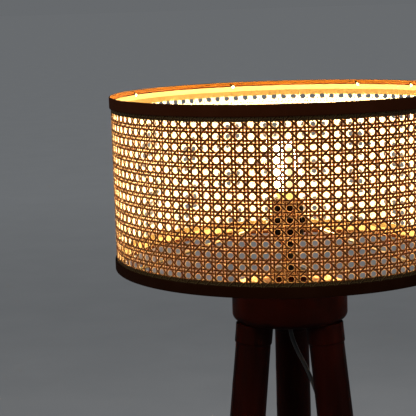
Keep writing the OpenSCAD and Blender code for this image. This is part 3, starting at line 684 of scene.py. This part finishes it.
def bottom_section():
    """Section of the bottom tape, folded round its wire."""
    thick, corner = 1.0 * MM, 1.6 * MM
    under, cut = corner + 0.4 * MM, corner + 0.5 * MM  # where its inner corners are cut off
    inner = low_radius("tape_bottom")
    return with_wobble(
        outer_face(bottom_tape_w, corner)
        + arc((tape_r - corner, -corner), corner, 15, 90, 4)
        + arc((inner + corner, -corner), corner, 90, 165, 4)
        + [(inner, -corner, 0), (inner, -bottom_fold + FOLD_TAPER, 0), (inner + FOLD_THIN, -bottom_fold, 0),
           (inner + thick, -bottom_fold, 0), (inner + thick, -under, 0), (inner + cut, -thick, 0),
           (tape_r - cut, -thick, 0), (tape_r - thick, -under, 0), (tape_r - thick, -bottom_tape_w, 0)])


def top_section():
    """Section of the top tape: a thin crest at the rim's edge and a fold that leans in from it."""
    thick, corner = 0.9 * MM, 0.9 * MM
    crest = (tape_r - corner, -corner)
    free = lining_r - 1.0 * MM  # the fold's free edge
    # Points marked 1 on the fold's inside take the tape's painted light; the fold's free edge keeps the
    # tape's own dark colour
    return with_wobble(
        outer_face(top_tape_w, corner)
        + arc(crest, corner, 20, 80, 3)
        + arc(crest, corner, 100, 145, 3, inside=1)
        + [(free + 0.3 * MM, -top_fold + FOLD_TAPER, 1), (free, -top_fold + 0.6 * MM, 0.2),
           (free + FOLD_THIN, -top_fold, 0), (free + thick, -top_fold, 0),
           (tape_r - 2.1 * thick, -2.6 * thick, 0), (tape_r - thick, -3 * thick, 0),
           (tape_r - thick, -top_tape_w, 0)])


# Ribs to the metre, and how far each band wobbles
TAPE_RIBS, CREAM_RIBS, TAN_RIBS = 900, 700, 600
TAPE_WOBBLE, FOLD_SHADOW_WOBBLE, LINING_WOBBLE = 0.22 * MM, 0.1 * MM, 0.12 * MM
# Painted light: the paler colour of the top fold's inside, lit by the bulb
TAPE_INSIDE_LIT = srgb(80, 48, 7)
# The seam here is painted shadow: a dark strip for the shade under the top fold. Its dark and paler tones,
# and where in x it turns from the one to the other
FOLD_SHADOW_TONES = srgb(3, 1, 0.4), srgb(24, 7, 2)
SHADOW_PALE_FROM, SHADOW_PALE_TO = -0.16, 0.06  # where the seam turns from the one to the other


def make_tape(end, section, dark, light, *nodes):
    """One rim's tape, in place of the model's nodes."""
    name = "binding_" + end
    brown = tape_material("tape_" + end, dark, light, TAPE_RIBS, TAPE_INSIDE_LIT)
    piece = link(name, band_mesh(name, section, TAPE_WOBBLE), brown)
    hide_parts(*nodes)


def make_tapes():
    """The rims' tapes; the top one also stands in for the wire inside it. The top tape is painted lighter
    and the bottom one darker, as painted light and shade on one and the same tape.
    """
    top = [(r, shade_top + level, *rest) for r, level, *rest in top_section()]
    bottom = [(r, shade_base - level, *rest) for r, level, *rest in reversed(bottom_section())]
    # Lit and shaded copies of one tape: the top one painted lighter, the bottom one darker
    make_tape("top", top, srgb(33, 13, 4), srgb(52, 22, 8), "tape_top", "rim_wire_top")
    make_tape("bottom", bottom, srgb(17, 5, 1), srgb(30, 11, 3), "tape_bottom")


def make_fold_shadow():
    """A dark strip just under the top fold, painted shadow for the shade there; darker at the left and paler
    towards the right.
    """
    # Painted shadow: this dark strip, named seam, stands for the shade under the top fold
    p = Paint("seam", Roughness=0.8, Specular_IOR_Level=0.0)
    p.feed("Base Color", p.mix(p.span(p.axis("X"), SHADOW_PALE_FROM, SHADOW_PALE_TO), FOLD_SHADOW_TONES[0], FOLD_SHADOW_TONES[1]))
    near = lining_r - 0.75 * MM
    far = near + 0.5 * MM
    fold_end = shade_top - top_fold
    top, base = fold_end + 0.2 * MM, fold_end - 0.9 * MM
    profile = [(near, top), (far, top), (far, base), (near, base)]
    seam = link("fold_seam", band_mesh("fold_seam", profile, FOLD_SHADOW_WOBBLE), p.material)


def make_linings():
    """Inside each rim, a cream cotton strip next to the fold, and a tan strip that shows beyond it."""
    cream = tape_material("lining_cream", srgb(80, 68, 43), srgb(95, 82, 53), CREAM_RIBS)
    tan = tape_material("lining_tan", srgb(47, 38, 19), srgb(62, 51, 27), TAN_RIBS)
    outer = high("lining_top").x - 0.05 * MM
    middle = (lining_r + outer) / 2
    for end, start, stop in (("top", high("lining_top").z, low("lining_top").z - lining_drop),
                             ("bottom", low("lining_bottom").z, high("lining_bottom").z)):
        down = start > stop
        seam = (start + stop) / 2
        tucked = start - (0.5 * MM if down else -0.5 * MM)
        cream_strip = [(lining_r, start), (middle, start), (middle, seam), (lining_r, seam)]
        tan_strip = [(middle, tucked), (outer, tucked), (outer, stop), (middle, stop)]
        for kind, material, profile in (("cream", cream, cream_strip), ("tan", tan, tan_strip)):
            name = kind + "_" + end
            mesh = band_mesh("lining_" + name, profile if down else profile[::-1], LINING_WOBBLE)
            mesh.polygons.foreach_set("use_smooth", np.zeros(len(mesh.polygons), bool))
            piece = link("lining_strip_" + name, mesh, material)
            if kind == "tan":
                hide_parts("lining_" + end)


BALL_RINGS, BALL_SIDES = 9, 14
KNOT_SIZE = (1.1 * MM, 2.0 * MM, 1.8 * MM)
STITCH_SIZE = (1.2 * MM, 1.3 * MM, 1.6 * MM)
STITCH_AHEAD = 2.6 * MM  # from a knot to its stitch, round the rim
THREAD_GRAIN = 1500


def ball_mesh(name, radius, azimuth, z, size):
    """A small rounded lump at a place on the drum; size is (radial, round the drum, upright)."""
    polar = np.linspace(0, np.pi, BALL_RINGS)[1:-1, None, None]
    turn = np.linspace(0, 2 * np.pi, BALL_SIDES, endpoint=False)[:, None]
    out = np.array([math.cos(azimuth), math.sin(azimuth), 0])
    ahead = np.array([-math.sin(azimuth), math.cos(azimuth), 0])
    up = np.array([0, 0, 1])
    points = (radius * out + z * up
              + size[0] * np.sin(polar) * np.cos(turn) * out
              + size[1] * np.sin(polar) * np.sin(turn) * ahead
              + size[2] * np.cos(polar) * up)
    return tubes_mesh(name, points[None], False)


def make_ties():
    """White thread knots under the top fold, each with the dark stitch that pulls the fold in."""
    thread = moulded("thread", srgb(214, 206, 188), 0.8, THREAD_GRAIN)
    waxed = moulded("waxed_thread", srgb(2, 1, 1), 0.7, THREAD_GRAIN, shine=0.05)
    fold_end = shade_top - top_fold
    r = lining_r - 1.2 * MM
    for k, azimuth in enumerate(tie_azimuths):
        a = math.radians(azimuth)
        knot = ball_mesh("knot", r, a, fold_end - 0.9 * MM, KNOT_SIZE)
        link("tie_knot_%d" % k, knot, thread)
        stitch = ball_mesh("stitch", r + 0.9 * MM, a + STITCH_AHEAD / r, fold_end + 1.2 * MM, STITCH_SIZE)
        link("tie_stitch_%d" % k, stitch, waxed)


# ---- Cord ----

def blend(a, b, c, d, t):
    """A point part of the way from b to c, on the smooth line through all four."""
    return 0.5 * (2 * b + (c - a) * t + (2 * a - 5 * b + 4 * c - d) * t ** 2
                  + (3 * b - a - 3 * c + d) * t ** 3)


def smooth(points, steps):
    """A smooth line through the points."""
    p = [Vector(q) for q in points]
    line = [blend(p[max(i - 1, 0)], p[i], p[i + 1], p[min(i + 2, len(p) - 1)], k / steps)
            for i in range(len(p) - 1) for k in range(steps)]
    return line + [p[-1]]


def ease(x):
    """A soft step from 0 to 1, as x goes from 0 to 1."""
    x = min(max(x, 0), 1)
    return x * x * (3 - 2 * x)


def coil_radius(done):
    """Radius of the coil after a number of turns. Each turn is round for half of its way, and
    drifts to where the next one starts in the rest."""
    turn = min(int(done), len(coil_rings) - 2)
    drift = ease((done - turn - 0.5) / 0.5)
    return coil_rings[turn] + (coil_rings[turn + 1] - coil_rings[turn]) * drift


def coil_points():
    """The coil's turns: inwards on the floor, then outwards on top of those."""
    points = []
    for k in range(int(coil_turns * coil_steps) + 1):
        done = k / coil_steps
        lift = coil_low + coil_rise * ease((done - rise_start) / rise_turns)
        angle = math.pi - 2 * math.pi * done
        r = coil_radius(done)
        points.append((coil_centre[0] + r * math.cos(angle), coil_centre[1] + r * math.sin(angle), lift))
    return points


def make_cord(material):
    """The supply cord from the holder down the leg, through the switch and round the coil to the plug."""
    line = (smooth(route_down + route_switch + route_across, cord_steps)[:-1]
            + smooth([route_across[-1]] + coil_points() + route_out, cord_steps))
    curve = bpy.data.curves.new("cord", "CURVE")
    curve.dimensions = "3D"
    curve.bevel_depth = cord_r
    curve.bevel_resolution = 3
    curve.use_fill_caps = True
    spline = curve.splines.new("POLY")
    spline.points.add(len(line) - 1)
    for point, at in zip(spline.points, line):
        point.co = (at.x * MM, at.y * MM, at.z * MM, 1)
    spline.use_smooth = True
    cord = bpy.data.objects.new("supply_cord", curve)
    curve.materials.append(material)
    bpy.context.scene.collection.objects.link(cord)
    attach(cord, LAMP)
    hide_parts("cord", "cord_coil")


# ---- Stage ----

FLOOR_TONE = (0.37, 0.38, 0.39, 1)
FLOOR_REACH = 400.0
# The floor is painted darker by the lamp, as painted shade, and has its full tone from the second distance
# on
NEAR_FLOOR, FAR_FLOOR, NEAR_SHADE = 3, 10, 0.62
WORLD_TONE = (0.94, 0.97, 1.0, 1)
WORLD_STRENGTH = 0.39


def make_stage():
    """A floor that reaches the horizon, plain but for painted shade near the lamp."""
    mesh = bpy.data.meshes.new("floor")
    corners = [(x * FLOOR_REACH, y * FLOOR_REACH, 0) for x, y in ((-1, -1), (1, -1), (1, 1), (-1, 1))]
    mesh.from_pydata(corners, [], [(0, 1, 2, 3)])
    floor = bpy.data.objects.new("floor", mesh)
    bpy.context.scene.collection.objects.link(floor)
    p = Paint("floor", Roughness=1.0, Specular_IOR_Level=0.0)
    away = p.node("VectorMath", {0: p.place((1, 1, 1))}, operation="LENGTH").outputs["Value"]
    # Painted shade: the floor's colour is darker near the lamp
    tone = p.mix(p.span(away, NEAR_FLOOR, FAR_FLOOR), shaded(FLOOR_TONE, NEAR_SHADE), FLOOR_TONE)
    p.feed("Base Color", p.mix(p.span(p.noise(3, 2), 0.2, 0.8, 0, 0.03), tone, WHITE))
    mesh.materials.append(p.material)


def make_world():
    """Even light from all round; the camera, glass and metal see the far floor's tone in its place."""
    world = bpy.data.worlds.new("world")
    bpy.context.scene.world = world
    world.use_nodes = True
    nodes, links = world.node_tree.nodes, world.node_tree.links
    light = nodes["Background"]
    light.inputs["Color"].default_value = WORLD_TONE
    light.inputs["Strength"].default_value = WORLD_STRENGTH
    backdrop = nodes.new("ShaderNodeBackground")
    backdrop.inputs["Color"].default_value = tuple(a * b for a, b in zip(FLOOR_TONE, WORLD_TONE))
    backdrop.inputs["Strength"].default_value = WORLD_STRENGTH
    path = nodes.new("ShaderNodeLightPath")
    seen = path.outputs["Is Camera Ray"]
    for kind in ("Is Glossy Ray", "Is Transmission Ray"):
        either = nodes.new("ShaderNodeMath")
        either.operation = "MAXIMUM"
        links.new(seen, either.inputs[0])
        links.new(path.outputs[kind], either.inputs[1])
        seen = either.outputs[0]
    both = nodes.new("ShaderNodeMixShader")
    links.new(seen, both.inputs["Fac"])
    links.new(light.outputs[0], both.inputs[1])
    links.new(backdrop.outputs[0], both.inputs[2])
    links.new(both.outputs[0], nodes["World Output"].inputs["Surface"])


BULB_WATTS = 70.0
BULB_TONE = (1.0, 0.72, 0.42)
BULB_SIZE = 0.012
# Soft lights in the room, as (place, height it aims at, size, watts)
SOFT_LIGHTS = {
    "key": ((-2.2, -2.4, 3.0), 1.1, 2.2, 78),
    "fill": ((2.8, -1.6, 2.0), 0.9, 2.4, 30),
    "back": ((1.2, 2.8, 2.8), 1.0, 2.0, 38),
}


def area_light(name, at, aim_z, size, watts):
    """A square light that faces the lamp's axis."""
    data = bpy.data.lights.new(name, "AREA")
    data.size = size
    data.energy = watts
    light = bpy.data.objects.new(name, data)
    light.location = at
    light.rotation_euler = (Vector((0, 0, aim_z)) - Vector(at)).to_track_quat("-Z", "Y").to_euler()
    bpy.context.scene.collection.objects.link(light)


def make_lights():
    """The bulb's own light, and soft lights from three sides."""
    bulb = bpy.data.lights.new("bulb", "POINT")
    bulb.energy = BULB_WATTS
    bulb.color = BULB_TONE
    bulb.shadow_soft_size = BULB_SIZE
    inside = bpy.data.objects.new("bulb", bulb)
    inside.visible_camera = False
    inside.location = (0, 0, (low("bulb_filaments").z + high("bulb_filaments").z) / 2)
    bpy.context.scene.collection.objects.link(inside)
    for name, settings in SOFT_LIGHTS.items():
        area_light(name, *settings)
    bpy.context.scene.view_settings.view_transform = "Standard"


make_camera()
make_cord(moulded("cord_jacket", srgb(12, 12, 12), 0.6, 900))
dress_model()
make_weave(cane_material())
make_tapes()
make_fold_shadow()
make_linings()
make_ties()
make_stage()
make_world()
make_lights()
